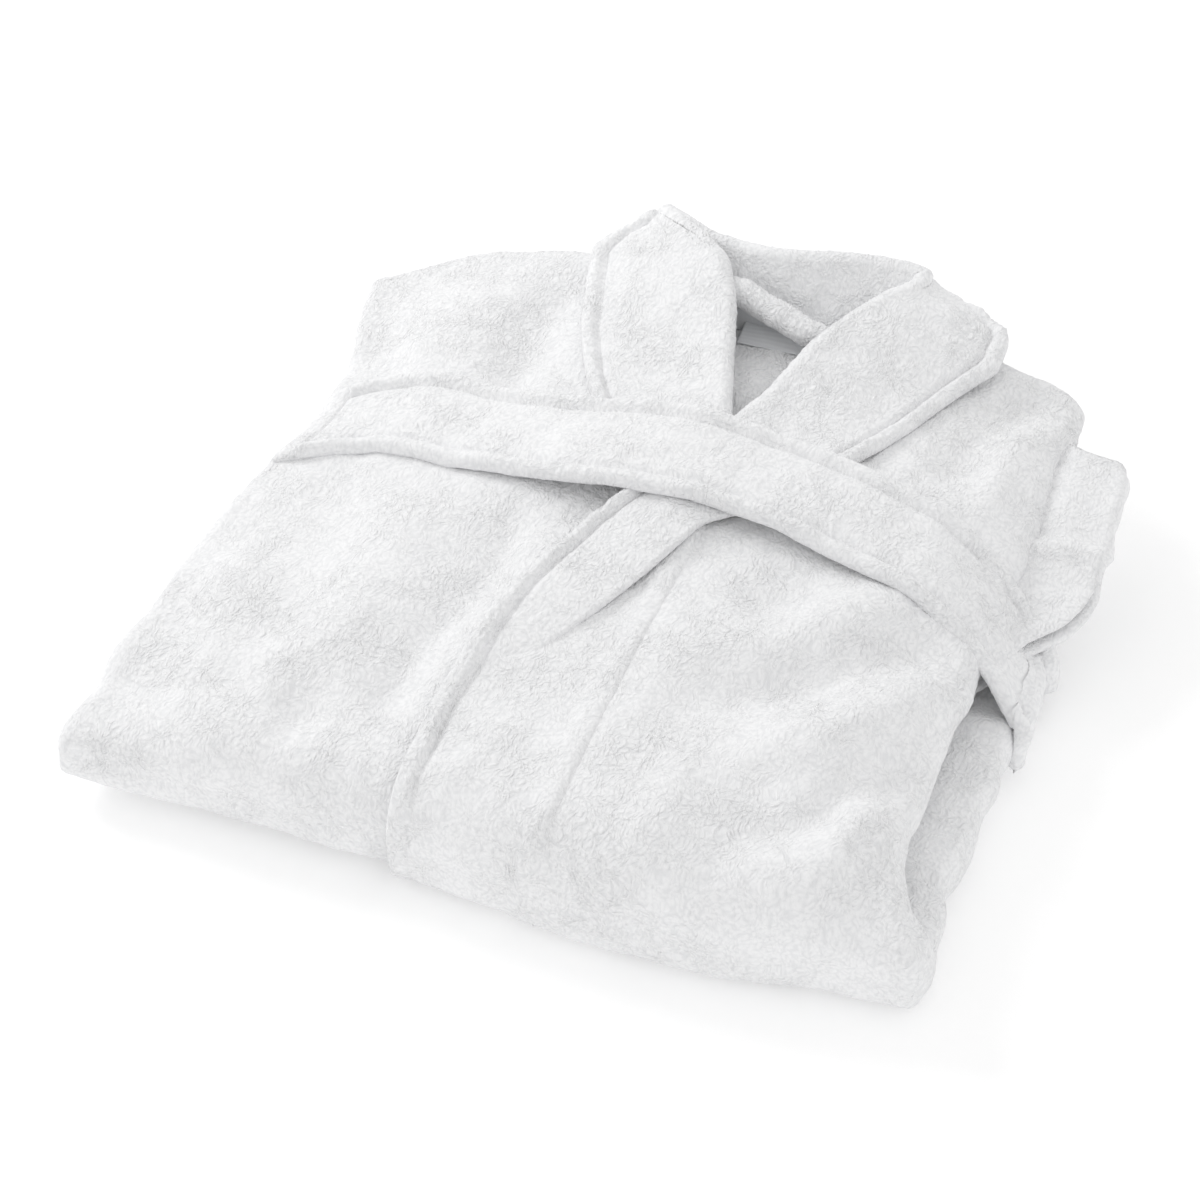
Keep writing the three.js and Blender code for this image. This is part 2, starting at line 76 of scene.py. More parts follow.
def noise(p, size, seed=1):
    # smooth noise from about -1 to 1, with features of the given size
    order, gradients = gradientTable(seed)
    q = np.asarray(p, float).reshape(-1, 3) / size
    base = np.floor(q).astype(np.int64)
    f = q - base
    fade = f * f * f * (f * (f * 6 - 15) + 10)
    total = np.zeros(len(q))
    for corner in range(8):
        step = np.array([corner & 1, corner >> 1 & 1, corner >> 2 & 1])
        at = base + step
        index = order[(order[(order[at[:, 0] & 255] + at[:, 1]) & 255] + at[:, 2]) & 255]
        dot = np.einsum("ij,ij->i", gradients[index], f - step)
        weight = np.where(step, fade, 1 - fade).prod(axis=1)
        total += weight * dot
    return (total * 1.6).reshape(np.asarray(p).shape[:-1])


def ramp(x, low, high):
    t = np.clip((np.asarray(x, float) - low) / (high - low), 0, 1)
    return t * t * (3 - 2 * t)


def bell(x, middle, width):
    return np.exp(-(((np.asarray(x, float) - middle) / width) ** 2))


def smooth(values, sigma):
    # evens out a run of values, sigma in samples, ends kept
    reach = int(sigma * 3) + 1
    kernel = np.exp(-0.5 * (np.arange(-reach, reach + 1) / sigma) ** 2)
    kernel /= kernel.sum()
    v = np.asarray(values, float)
    flat = v.reshape(len(v), -1)
    out = np.empty_like(flat)
    for k in range(flat.shape[1]):
        column = flat[:, k]
        head = 2 * column[0] - column[reach:0:-1]
        tail = 2 * column[-1] - column[-2 : -reach - 2 : -1]
        out[:, k] = np.convolve(np.concatenate([head, column, tail]), kernel, "valid")
    return out.reshape(v.shape)


# the pack's shape
pack = {
    "cloth": 3.6,  # one ply
    "pitch": 4.0,  # ply to ply
    "height": 68.0,
    "shoulders": 225.0,
    "bottom": -205.0,
    "secondTurn": 170.0,
    "hem": -140.0,
    "sideLeft": 197.0,
    "sideRight": -200.0,
    "skirtLeft": 221.0,
    "wing": 45.0,
    "beltUnderLift": 16.8,
    "pocketLift": 4.0,
}
height = pack["height"]
radius = height / 2
foldY = pack["bottom"] + radius
stack = 5 * pack["pitch"]
topRun = pack["shoulders"] - foldY
foldRun = math.pi * radius
underRun = pack["secondTurn"] - foldY
turnRun = math.pi * stack
innerRun = pack["secondTurn"] - pack["hem"]
fullRun = topRun + foldRun + underRun + turnRun + innerRun


def settle(y, z):
    # a height in the pack once it lies on the spare belt and the pockets underneath
    lift = pack["beltUnderLift"] * ramp(y, 8, 23) * (1 - ramp(y, 93, 108))
    lift = lift + pack["pocketLift"] * ramp(y, -160, -150) * (1 - ramp(y, -20, -10))
    return z + lift * np.clip(1 - z / height, 0, 1)


def alongRoll(v, depth):
    # (y, z) at a distance v from the shoulders, round the folds to the hem, at a depth below the outer face
    v, depth = np.broadcast_arrays(np.asarray(v, float), np.asarray(depth, float))
    marks = np.cumsum([0, topRun, foldRun, underRun, turnRun, innerRun])
    y = pack["shoulders"] - v
    z = height - depth
    a = np.pi / 2 + (v - marks[1]) / radius
    inFold = (v > marks[1]) & (v <= marks[2])
    y = np.where(inFold, foldY + (radius - depth) * np.cos(a), y)
    z = np.where(inFold, radius + (radius - depth) * np.sin(a), z)
    under = (v > marks[2]) & (v <= marks[3])
    y = np.where(under, foldY + v - marks[2], y)
    z = np.where(under, depth, z)
    a = -np.pi / 2 + (v - marks[3]) / stack
    inTurn = (v > marks[3]) & (v <= marks[4])
    y = np.where(inTurn, pack["secondTurn"] + (stack - depth) * np.cos(a), y)
    z = np.where(inTurn, stack + (stack - depth) * np.sin(a), z)
    inner = v > marks[4]
    y = np.where(inner, pack["secondTurn"] - (v - marks[4]), y)
    z = np.where(inner, 2 * stack - depth, z)
    return y, settle(y, z)


# soft folds and hollows of the top: ends, width, height, and which way a fold leans
creases = [
    ((-150, 10), (-118, -120), 26, -1.8),
    ((-112, 5), (-92, -150), 22, 2.0),
    ((-60, -10), (-70, -120), 20, -2.2),
    ((-48, 10), (-52, -150), 12, -3.4),
    ((-170, -60), (-150, -190), 18, 1.6),
    ((-96, -140), (-96, -182), 13, -3.4),
    ((70, -10), (52, -170), 20, 1.6),
    ((96, 0), (84, -110), 22, -1.8),
    ((150, 6), (84, -66), 17, 3.2),
    ((178, -8), (98, -98), 15, -3.6),
    ((190, -40), (122, -132), 16, 3.6),
    ((188, -90), (140, -172), 13, -3.0),
    ((176, -118), (168, -190), 11, 3.0),
    ((130, -130), (120, -205), 14, -2.0),
    ((92, -140), (86, -205), 12, 1.8),
    ((150, 100), (170, 190), 15, -2.6),
    ((176, 96), (186, 170), 11, 2.4),
    ((120, 110), (160, 160), 18, 1.8),
    ((-150, 110), (-130, 200), 26, 2.0),
    ((-90, 100), (-96, 210), 16, -3.0),
    ((-180, 110), (-176, 190), 18, -1.6),
]


def relief(x, y):
    total = np.zeros(np.broadcast(x, y).shape)
    for (x0, y0), (x1, y1), width, rise in creases:
        dx, dy = x1 - x0, y1 - y0
        length = math.hypot(dx, dy)
        s = ((x - x0) * dx + (y - y0) * dy) / length
        d = ((x - x0) * dy - (y - y0) * dx) / length
        bend = d + 5 * np.sin(s / 30)
        ends = ramp(s, -18, 22) * (1 - ramp(s, length - 22, length + 18))
        total = total + rise * np.exp(-((bend / width) ** 2)) * ends
    return total


def closeRoll(x, y, z):
    # the inner plies of the bottom fold crowd in towards its middle, and its lower half sits square
    dy = np.minimum(y - foldY, 0) / radius
    dz = (z - radius) / radius
    away = np.maximum(np.hypot(dy, dz), 1e-6)
    shut = (0.3 + 0.55 * ramp(np.abs(x), 120, 190)) * (1 - ramp(y, foldY + 4, foldY + 34))
    inwards = 1 - shut * np.clip(1 - away, 0, 1) / 0.6
    squared = away / np.maximum((dy**4 + dz**4) ** 0.25, 1e-6)
    grow = 1 + (squared - 1) * ramp(-dz / away, 0, 0.35)
    return y + np.minimum(y - foldY, 0) * (inwards * grow - 1), radius + (z - radius) * inwards * grow


give = {
    "crown": 7.0,
    "rightSlope": 9.0,  # fall of the top towards the wearer's right side
    "leftDroop": 14.0,  # and towards the other
    "foldDepth": 2.1,  # how strongly the creases show
    "ripple": 1.1,
    "swell": 4.0,  # slow unevenness of the top
    "waist": 17.0,  # how far the belt draws the side in
    "frontBulge": 10.0,
    "cornerOut": 9.0,
    "sideWaves": 4.0,
    "sideFolds": 3.0,
    "frontWaves": 2.6,
}
# how far each height moves where the wearer's left side packs down
packedFrom = [0, 20, 40, 48, 52, 68]
packedBy = [0, 7, -7, -7.7, -6, 1]


def soften(p, folds=1.0):
    # the give of the whole pack, the same for every piece: crown, slopes, round corners and unevenness
    x, y, z = p[..., 0].copy(), p[..., 1].copy(), p[..., 2].copy()
    y, z = closeRoll(x, y, z)
    drawnZ = z.copy()
    up = np.clip(z / height, 0, 1.6)
    top = ramp(up, 0.45, 1.0)
    back = ramp(y, 100, 225)
    rightShoulder = 14 * bell(x, -95, 55) - 42 * ramp(-x, 140, 215)
    leftShoulder = -14 * ramp(x, 120, 170) - 16 * ramp(x, 176, 215)
    y += back * np.where(x < 0, rightShoulder, leftShoulder) * (0.35 + 0.65 * np.clip(up, 0, 1))
    front = 1 - ramp(y, -205, -150)
    y -= front * (give["frontBulge"] * bell(x, 95, 85) - 2 * ramp(x, 185, 215)) * (1.1 - 0.3 * up)
    x += (1 - ramp(y, -190, -120)) * (4 * ramp(x, 190, 215) - 3 * ramp(-x, 120, 200))
    droop = give["leftDroop"] * ramp(x, 150, 204) * (1 - 0.45 * ramp(y, 80, 140))
    crown = give["crown"] * bell(x, 10, 150) * ramp(y, -190, 0)
    slope = give["rightSlope"] * ramp(-x, 110, 205)
    z += (crown - slope - droop) * top
    packed = ramp(x, 150, 200) * ramp(y, foldY - 10, foldY + 50) * (1 - 0.75 * ramp(y, 70, 120))
    z += packed * np.interp(drawnZ, packedFrom, packedBy)
    z += give["foldDepth"] * folds * relief(x, y) * top
    z += give["ripple"] * folds * noise(np.stack([x, y * 0.8, z * 0], -1), 27, 9) * top
    corner = ramp(-y, 125, 195) * ramp(-x, 120, 190)
    low = corner * (1 - ramp(up, 0.1, 0.85))
    x -= give["cornerOut"] * low
    y -= (give["cornerOut"] - 1) * low
    z -= give["cornerOut"] * corner * top
    slow = noise(np.stack([x, y, z * 0.4], -1), 75, 3)
    z += give["swell"] * slow * up
    x += (give["waist"] * bell(y, 58, 78) - 6 * ramp(y, 125, 180)) * ramp(-x, 60, 200)
    side = ramp(np.abs(x), 130, 200)
    x += side * give["sideWaves"] * noise(np.stack([x * 0.3, y, z * 2.4], -1), 46, 5) * np.sign(x)
    x += ramp(x, 184, 210) * give["sideFolds"] * noise(np.stack([x * 0, y, z * 0.5], -1), 19, 15)
    y += front * give["frontWaves"] * noise(np.stack([x, y * 0.3, z], -1), 52, 7)
    return np.stack([x, y, np.maximum(z, 0.3)], -1)


# cloth into meshes: clumps and loops are the height and size of the pile
terry = {
    "clump": 0.55,
    "loop": 0.72,
    "clumpSize": 12.0,
    "loopSize": 3.2,
    "lie": 0.85,
    "rimFluff": 0.9,
}


def gridNormals(p):
    along = np.gradient(p, axis=0)
    across = np.gradient(p, axis=1)
    n = np.cross(along, across)
    return n / np.maximum(np.linalg.norm(n, axis=-1, keepdims=True), 1e-9)


def edgeDistance(p):
    rows = np.linalg.norm(np.diff(p, axis=0), axis=-1)
    columns = np.linalg.norm(np.diff(p, axis=1), axis=-1)
    down = np.vstack([np.zeros((1, p.shape[1])), np.cumsum(rows, axis=0)])
    over = np.hstack([np.zeros((p.shape[0], 1)), np.cumsum(columns, axis=1)])
    return np.minimum(np.minimum(down, down[-1:] - down), np.minimum(over, over[:, -1:] - over))


def pile(p, strength):
    # the looped pile: clumps and single loops
    lying = p * np.array([1, terry["lie"], 0.8])
    clumps = noise(lying, terry["clumpSize"], 11)
    sharp = 0.35 + 0.65 * ramp(noise(p, 42, 14), -0.35, 0.45)
    loops = noise(lying, terry["loopSize"], 13)
    tufts = np.maximum(noise(lying, terry["loopSize"] * 0.62, 15), -0.3)
    return strength * (terry["clump"] * clumps + terry["loop"] * sharp * (0.6 * loops + 0.7 * tufts))


def addPiece(name, points, faces, material):
    mesh = bpy.data.meshes.new(name)
    mesh.from_pydata(((points + shift) * mm).tolist(), [], faces)
    mesh.polygons.foreach_set("use_smooth", np.ones(len(mesh.polygons), bool))
    mesh.materials.append(material)
    made = bpy.data.objects.new(name, mesh)
    bpy.context.scene.collection.objects.link(made)
    return made


def makeCloth(name, p, thickness, material, pileStrength=1.0, coarse=1, flip=False, detail=None):
    # p holds rows of points on the cloth's middle surface; the result is a closed sheet with rounded edges
    rows, columns = p.shape[:2]
    n = gridNormals(p) * (-1 if flip else 1)
    half = thickness / 2
    d = edgeDistance(p)
    swell = np.sqrt(np.clip(1 - (1 - np.clip(d / (half * 1.2), 0, 1)) ** 2, 0, 1))
    outward = half * swell + (detail * swell if detail is not None else 0)
    outer = p + n * outward[..., None]
    fluff = 1 + terry["rimFluff"] * (np.clip(detail, 0, 2) / 2 if detail is not None else 0)
    outer += n * (pile(outer, pileStrength) * fluff * (0.35 + 0.65 * swell))[..., None]
    inner = p - n * (half * swell)[..., None]
    if coarse == 1:
        inner -= n * (pile(inner, pileStrength) * swell)[..., None]
    border = np.zeros((rows, columns), bool)
    border[[0, -1], :] = True
    border[:, [0, -1]] = True
    outerId = np.arange(rows * columns).reshape(rows, columns)
    keepRows = np.arange(0, rows, coarse)
    keepColumns = np.arange(0, columns, coarse)
    innerId = outerId.copy()
    kept = np.zeros((rows, columns), bool)
    kept[np.ix_(keepRows, keepColumns)] = True
    kept &= ~border
    innerId[kept] = rows * columns + np.arange(kept.sum())
    vertices = np.vstack([outer.reshape(-1, 3), inner[kept]])
    a, b = outerId[:-1, :-1], outerId[1:, :-1]
    c, e = outerId[1:, 1:], outerId[:-1, 1:]
    faces = np.stack([a, b, c, e], -1).reshape(-1, 4)
    if flip:
        faces = faces[:, ::-1]
    faces = faces.tolist()
    for i0, i1 in zip(keepRows[:-1], keepRows[1:]):
        for j0, j1 in zip(keepColumns[:-1], keepColumns[1:]):
            low = [(i0, j) for j in (range(j0, j1) if i0 == 0 else (j0,))]
            right = [(i, j1) for i in (range(i0, i1) if j1 == columns - 1 else (i0,))]
            high = [(i1, j) for j in (range(j1, j0, -1) if i1 == rows - 1 else (j1,))]
            left = [(i, j0) for i in (range(i1, i0, -1) if j0 == 0 else (i1,))]
            loop = [int(innerId[at]) for at in low + right + high + left]
            faces.append(loop[::-1] if flip else loop)
    made = addPiece(name, vertices, faces, material)
    made.data.validate()
    print(f"{name}: {len(made.data.polygons)} faces")
    return made


def declareSheet(piece, p, held, *restsOn):
    # finds the grid's edge steps along the cloth and keeps nothing
    edgeA, edgeB = p[1:, :-1] - p[:-1, :-1], p[:-1, 1:] - p[:-1, :-1]


def samples(marks, steps, multiple=1):
    # positions through the marks at about the given step on each stretch, their count one over a multiple
    out = [marks[0]]
    for start, end, step in zip(marks[:-1], marks[1:], steps):
        count = max(1, int(round(abs(end - start) / step)))
        out += list(start + (end - start) * np.arange(1, count + 1) / count)
    extra = (-(len(out) - 1)) % multiple
    for _ in range(extra):
        gaps = np.abs(np.diff(out))
        k = int(np.argmax(gaps))
        out.insert(k + 1, (out[k] + out[k + 1]) / 2)
    return np.array(out)


class Wire:
    # a socket with arithmetic
    def __init__(self, tree, socket):
        self.tree, self.socket = tree, socket

    def node(self, kind, settings=None, inputs=None, output=0):
        made = self.tree.nodes.new(kind)
        for key, value in (settings or {}).items():
            setattr(made, key, value)
        for key, value in (inputs or {}).items():
            if isinstance(value, Wire):
                self.tree.links.new(value.socket, made.inputs[key])
            else:
                made.inputs[key].default_value = value
        return Wire(self.tree, made.outputs[output])

    def math(self, operation, *values):
        return self.node("ShaderNodeMath", {"operation": operation}, dict(enumerate(values)))

    def __add__(self, other):
        return self.math("ADD", self, other)

    def __mul__(self, other):
        return self.math("MULTIPLY", self, other)

    def __sub__(self, other):
        return self.math("SUBTRACT", self, other)

    def __rsub__(self, other):
        return self.math("SUBTRACT", other, self)

    __radd__ = __add__
    __rmul__ = __mul__


def newMaterial(name):
    material = bpy.data.materials.new(name)
    material.use_nodes = True
    tree = material.node_tree
    shader = tree.nodes["Principled BSDF"]
    place = Wire(tree, tree.nodes.new("ShaderNodeTexCoord").outputs["Object"])
    return material, shader, place


terryLook = {
    "light": (0.93, 0.93, 0.936, 1),
    # painted shade: a greyer colour laid into the gaps between loops, where their shade falls
    "paintedLoopShade": (0.835, 0.838, 0.848, 1),
    "loop": 520.0,  # loops per metre across the pile
    "lie": (1.0, 0.72, 0.9),  # how the loops are drawn out along each axis
    "clump": 125.0,
    "patch": 26.0,
    "relief": 0.0016,
    "sheen": 0.25,
}


def terryMaterial(name, look):
    material, shader, place = newMaterial(name)
    lying = place.node("ShaderNodeVectorMath", {"operation": "MULTIPLY"}, {0: place, 1: look["lie"]})
    swirl = place.node("ShaderNodeTexNoise", {}, {"Vector": place, "Scale": 70.0, "Detail": 2.0}, "Color")
    bent = place.node("ShaderNodeMix", {"data_type": "VECTOR"}, {0: 0.010, 4: lying, 5: swirl}, 1)
    cells = place.node("ShaderNodeTexVoronoi", {"feature": "F1"},
                       {"Vector": bent, "Scale": look["loop"]}, "Distance")
    fine = place.node("ShaderNodeTexNoise", {}, {"Vector": bent, "Scale": look["loop"] * 1.3, "Detail": 3.0})
    clumps = place.node("ShaderNodeTexNoise", {}, {"Vector": bent, "Scale": look["clump"], "Detail": 3.0})
    patches = place.node("ShaderNodeTexNoise", {}, {"Vector": place, "Scale": look["patch"], "Detail": 2.0})
    crisp = place.node("ShaderNodeMapRange", {},
                       {"Value": patches, "From Min": 0.36, "From Max": 0.62, "To Min": 0.35})
    loops = (1 - cells) * 0.55 + fine * 0.6
    pileHeight = loops * crisp + clumps * 0.45
    # the colour darkens where the loops dip: painted shade between the loops, lighter on the loop tops
    paintedLoopShade = place.node("ShaderNodeMapRange", {}, {"Value": loops, "From Min": 0.38, "From Max": 0.68})
    colour = place.node("ShaderNodeMix", {"data_type": "RGBA"},
                        {0: paintedLoopShade, 6: look["paintedLoopShade"], 7: look["light"]}, 2)
    material.node_tree.links.new(colour.socket, shader.inputs["Base Color"])
    bump = place.node("ShaderNodeBump", {},
                      {"Strength": 1.0, "Distance": look["relief"], "Height": pileHeight})
    material.node_tree.links.new(bump.socket, shader.inputs["Normal"])
    shader.inputs["Roughness"].default_value = 0.95
    shader.inputs["Specular IOR Level"].default_value = 0.15
    shader.inputs["Sheen Weight"].default_value = look["sheen"]
    shader.inputs["Sheen Roughness"].default_value = 0.6
    return material


def wovenMaterial(name, colour, dark, threads, roughness):
    material, shader, place = newMaterial(name)
    woven = {"Vector": place, "Scale": threads}
    warp = place.node("ShaderNodeTexWave", {"bands_direction": "X"}, woven, "Fac")
    weft = place.node("ShaderNodeTexWave", {"bands_direction": "Z"}, woven, "Fac")
    weave = warp * 0.5 + weft * 0.5
    mixed = place.node("ShaderNodeMix", {"data_type": "RGBA"}, {0: weave, 6: dark, 7: colour}, 2)
    material.node_tree.links.new(mixed.socket, shader.inputs["Base Color"])
    bump = place.node("ShaderNodeBump", {}, {"Strength": 0.5, "Distance": 0.0003, "Height": weave})
    material.node_tree.links.new(bump.socket, shader.inputs["Normal"])
    shader.inputs["Roughness"].default_value = roughness
    return material


bodyTerry = terryMaterial("bodyTerry", terryLook)
collarTerry = terryMaterial("collarTerry", {**terryLook, "loop": 540.0})
beltTerry = terryMaterial("beltTerry", {**terryLook, "loop": 490.0, "clump": 110.0})
tapeCotton = wovenMaterial("tapeCotton", (0.8, 0.81, 0.82, 1), (0.7, 0.71, 0.73, 1), 420.0, 0.7)
labelSatin = wovenMaterial("labelSatin", (0.86, 0.87, 0.88, 1), (0.76, 0.77, 0.79, 1), 600.0, 0.4)

# panels
fine = 1.3
medium = 5.0
wide = 9.0


def panelGrid(level, wingLevel, centreX, side, tipTop, tipSkirt, xStep, vFine):
    # a panel from its centre edge out to the side fold and back in as the turned-back wing
    inset = (wingLevel - level) * pack["pitch"] / 2
    v = samples([0, topRun, topRun + foldRun, topRun + foldRun + underRun, fullRun - innerRun, fullRun],
                [vFine, vFine, medium, medium, wide], 4)
    flat = samples([0, 1], [1 / max(4, round((abs(tipTop - centreX) - inset) / xStep))])
    turn = samples([0, math.pi], [math.pi / max(6, round(math.pi * inset / max(xStep, 1.6)))])
    wing = samples([0, 1], [1 / max(4, round((abs(tipTop) - pack["wing"]) / wide))])
    count = len(flat) + len(turn) + len(wing) - 2
    extra = (-(count - 1)) % 4
    flat = np.linspace(0, 1, len(flat) + extra)
    along = ramp(v, topRun - 50, topRun + 0.5 * foldRun)
    tip = tipTop + (tipSkirt - tipTop) * along
    tip = tip - side * 28 * ramp(v, fullRun - innerRun - 20, fullRun - innerRun + 40)
    centre = tip - side * inset
    a = pack["cloth"] / 2 + level * pack["pitch"]
    b = pack["cloth"] / 2 + wingLevel * pack["pitch"]
    xs, depths = [], []
    for f in flat:
        xs.append(centreX + (centre - centreX) * f)
        depths.append(np.full(len(v), a))
    for t in turn[1:]:
        xs.append(centre + side * inset * math.sin(t))
        depths.append(np.full(len(v), (a + b) / 2 - (b - a) / 2 * math.cos(t)))
    for w in wing[1:]:
        xs.append(centre + (side * pack["wing"] - centre) * w)
        depths.append(np.full(len(v), b))
    x = np.stack(xs, 1)
    depth = np.stack(depths, 1)
    y, z = alongRoll(v[:, None], depth)
    return np.stack([x, y, z], -1)


def cutNeck(p, line):
    # draws the panel's centre edge back to the neckline, where it lies on the top run
    ys = np.array([point[1] for point in line])
    xs = np.array([point[0] for point in line])
    order = np.argsort(ys)
    edge = np.interp(p[:, 0, 1], ys[order], xs[order])
    onTop = p[:, 0, 2] > height - 14
    edge = np.where(onTop, edge, p[:, 0, 0])
    edge = smooth(edge, 5)
    old = p[:, :1, 0]
    outermost = np.argmax(np.abs(p[0, :, 0] - p[0, 0, 0]))
    far = 0.86 * p[:, [outermost], 0]
    t = np.clip((p[..., 0] - old) / (far - old), 0, None)
    flatPart = p[..., 2] > p[:, :1, 2] - 1e-6
    moved = edge[:, None] + (far - edge[:, None]) * t
    p[..., 0] = np.where((t < 1) & flatPart, moved, p[..., 0])
    return p


def dress(piece, body, slot, *nodes):
    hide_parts(*nodes)
    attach(piece, body)


# each front's centre edge along X and its neckline
leftLook = {
    "edge": 41,
    "neck": [(41, -400), (41, 10), (50, 60), (74, 120), (90, 178), (92, 240)],
}
leftFront = panelGrid(0, 4, leftLook["edge"], 1, pack["sideLeft"], pack["skirtLeft"], fine, fine)
leftFront = cutNeck(leftFront, leftLook["neck"])
piece = makeCloth("frontLeft", soften(leftFront), pack["cloth"], bodyTerry, coarse=4)
dress(piece, "robe", "terry_body", "front_left")
declareSheet(piece, leftFront, "folded", "back_panel")

rightLook = {
    "edge": 10,
    "neck": [(10, -400), (10, 20), (7, 70), (-5, 110), (-20, 150), (-30, 185), (-30, 240)],
}
rightFront = panelGrid(1, 4, rightLook["edge"], -1, pack["sideRight"], pack["sideRight"], fine, fine)
rightFront = cutNeck(rightFront, rightLook["neck"])
piece = makeCloth("frontRight", soften(rightFront), pack["cloth"], bodyTerry, coarse=4, flip=True)
dress(piece, "robe", "terry_body", "front_right")
declareSheet(piece, rightFront, "folded", "back_panel")
print("fronts done")


backLook = {
    "tuckedIn": 8,  # how far its side folds lie inside those of the fronts
    "neckRise": 5.5,  # swell of the cloth shown inside the neck
}


# the back: one sheet from wing to wing
def backGrid():
    inside = backLook["tuckedIn"]
    left = panelGrid(2, 3, 0, 1, pack["sideLeft"] - inside, pack["skirtLeft"] - inside, 6.0, medium)
    right = panelGrid(2, 3, 0, -1, pack["sideRight"] + inside, pack["sideRight"] + inside, 6.0, medium)
    return np.concatenate([right[:, :0:-1], left], axis=1)


back = backGrid()
onTop = (back[..., 2] > 50) * ramp(back[..., 1], 110, 150) * (1 - ramp(back[..., 1], 192, 204))
back[..., 2] += backLook["neckRise"] * bell(back[..., 0], 26, 34) * onTop
piece = makeCloth("backPanel", soften(back), pack["cloth"], bodyTerry)
dress(piece, "robe", "terry_body", "back_panel")
declareSheet(piece, back, "folded", "front_right")


# collar and front bands
def stripRows(stations, step):
    # evens a list of stations into rows about a step apart; each station is (seam, roll, edge)
    s = np.array(stations, float)
    rollGaps = np.linalg.norm(np.diff(s[:, 1], axis=0), axis=1)
    edgeGaps = np.linalg.norm(np.diff(s[:, 2], axis=0), axis=1)
    gaps = rollGaps + 0.4 * edgeGaps
    at = np.concatenate([[0], np.cumsum(gaps)])
    t = np.linspace(0, at[-1], int(at[-1] / step) + 1)
    rows = np.stack([[np.interp(t, at, s[:, k, axis]) for axis in range(3)] for k in range(3)], 0)
    return smooth(rows.transpose(2, 0, 1), 4.5 / step)


def across(p):
    steps = np.linalg.norm(np.diff(p, axis=1), axis=-1)
    return np.hstack([np.zeros((len(p), 1)), np.cumsum(steps, axis=1)])


collar = {
    "turn": 3.6,  # middle of the cloth where the collar rolls over
    "thickness": 4.6,
    "rim": 10.5,  # width of the stitched rim along the free edge
    "rimRise": 2.8,
    "groove": 2.0,
    "puff": 3.0,  # how far the falling leaf stands out in its middle
}

# seam, roll and free edge, from the centre back to the lapel's end
leftCollar = [
    ((43, 207, 66), (43, 230, 96), (43, 237, 78)),
    ((62, 206, 66), (72, 234, 98), (74, 241, 78)),
    ((78, 203, 66), (98, 235, 98), (106, 240, 78)),
    ((86, 198, 66), (99, 226, 97), (132, 234, 80)),
    ((90, 188, 67), (86, 210, 95), (152, 226, 82)),
    ((90, 174, 68), (73, 190, 91), (152, 203, 76)),
    ((84, 150, 68), (60, 163, 85), (139, 178, 72)),
    ((74, 120, 68), (49, 124, 77), (122, 136, 70.5)),
    ((60, 94, 68), (38, 94, 73), (106, 98, 71)),
    ((44, 66, 67), (26, 62, 72), (92, 64, 72)),
    ((34, 36, 66), (12, 34, 71), (72, 38, 73)),
    ((14, 0, 66), (-4, 0, 70), (48, 16, 73)),
    ((0, -33, 66), (-13, -33, 70), (33, -28, 72.5)),
    ((-9, -66, 66), (-20, -66, 69.7), (21, -60, 71)),
    ((-14, -92, 65), (-26, -92, 69), (7, -86, 68)),
    ((-18, -114, 62), (-29, -114, 67.2), (-6, -110, 64)),
    ((-20, -136, 58), (-29, -136, 62), (-18, -134, 58)),
]
rightCollar = [
    ((47, 207, 66), (47, 230, 96), (47, 237, 78)),
    ((14, 207, 66), (12, 226, 91), (10, 236, 76)),
    ((-8, 204, 65), (-18, 228, 88), (-22, 237, 76)),
    ((-16, 202, 65), (-53, 235, 92), (-59, 233, 82)),
    ((-20, 198, 65), (-43, 229, 93), (-67, 226, 80)),
    ((-24, 192, 65), (-24, 219, 94), (-79, 217, 78)),
    ((-27, 182, 65), (-7, 204, 95), (-86, 208, 75)),
    ((-26, 168, 65), (3, 184, 91), (-80, 184, 71)),
    ((-18, 146, 65), (13, 152, 82), (-72, 158, 68)),
    ((-8, 120, 65), (22, 122, 75), (-58, 130, 67)),
    ((4, 98, 65), (30, 98, 70), (-44, 104, 66.5)),
    ((10, 72, 65), (38, 72, 68), (-32, 78, 66)),
]


def rimDetail(p, fromEdge):
    # the padded rim and the stitched groove beside it
    width = collar["rim"]
    bump = collar["rimRise"] * np.sqrt(np.clip(1 - ((fromEdge - width / 2) / (width / 2)) ** 2, 0, 1))
    groove = collar["groove"] * bell(fromEdge, width + 0.6, 2.0)
    wander = 0.3 * noise(p, 9, 21)
    return bump * (1 + wander) - groove


def softLeaf(p, seed, amount):
    # broad hollows of a hanging leaf of cloth
    return amount * (noise(p, 46, seed) + 0.5 * noise(p, 22, seed + 1))


